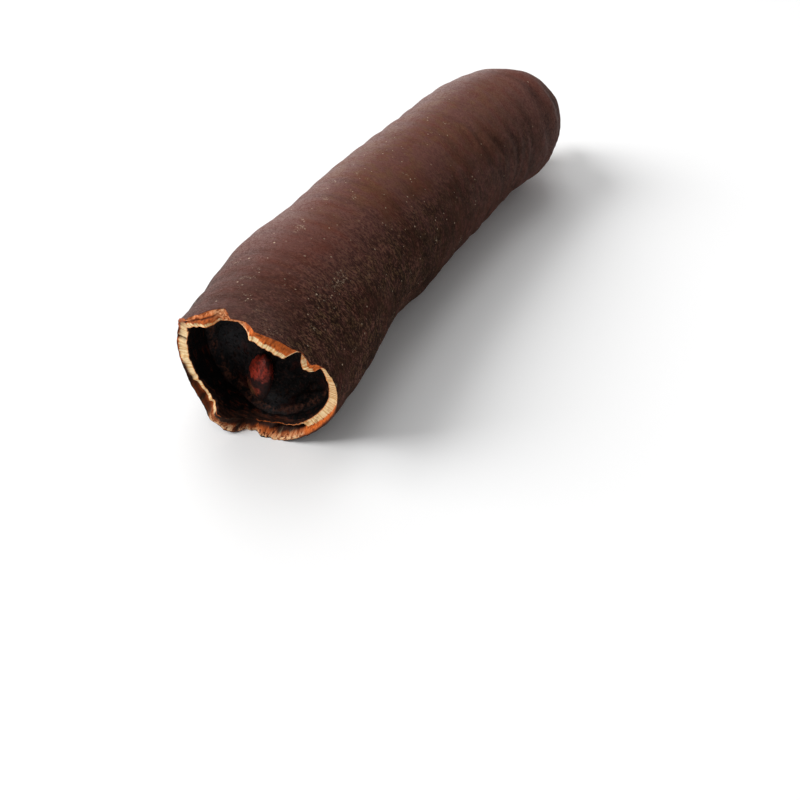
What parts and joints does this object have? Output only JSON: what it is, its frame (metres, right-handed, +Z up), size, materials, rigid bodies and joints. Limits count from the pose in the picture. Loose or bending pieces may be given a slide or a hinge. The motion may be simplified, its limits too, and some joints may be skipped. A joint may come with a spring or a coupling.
{
  "type": "golden shower pod",
  "caption": "Broken length of a dry golden shower pod: woody tube with a torn open mouth, cross walls, seeds, and a rounded end with a stalk stub.",
  "frame": {"origin": "centre of the part's footprint, on the surface that it lies on", "axes": "+Y along the pod from its torn mouth to its stalk, +Z up, +X to the right seen from the mouth"},
  "size_m": [0.0294, 0.11, 0.0251],
  "materials": {
    "bark": "dry purplish brown bark with a satin sheen",
    "stalk_wood": "matte torn fibre",
    "pulp_black": "dried black pulp over papery wood, glossy in places",
    "seed_coat": "hard glossy reddish brown coat"
  },
  "bodies": {
    "root": {"pod_shell": "bark", "stalk": "stalk_wood", "pulp": "pulp_black", "septum_01": "pulp_black", "septum_02": "pulp_black", "septum_03": "pulp_black", "septum_04": "pulp_black", "septum_05": "pulp_black", "septum_06": "pulp_black", "septum_07": "pulp_black", "septum_08": "pulp_black", "septum_09": "pulp_black", "septum_10": "pulp_black", "septum_11": "pulp_black", "septum_12": "pulp_black", "septum_13": "pulp_black", "septum_14": "pulp_black", "seed_01": "seed_coat", "seed_02": "seed_coat", "seed_03": "seed_coat", "seed_04": "seed_coat", "seed_05": "seed_coat", "seed_06": "seed_coat", "seed_07": "seed_coat", "seed_08": "seed_coat", "seed_09": "seed_coat", "seed_10": "seed_coat", "seed_11": "seed_coat", "seed_12": "seed_coat", "seed_13": "seed_coat", "seed_14": "seed_coat"}
  },
  "joints": []
}
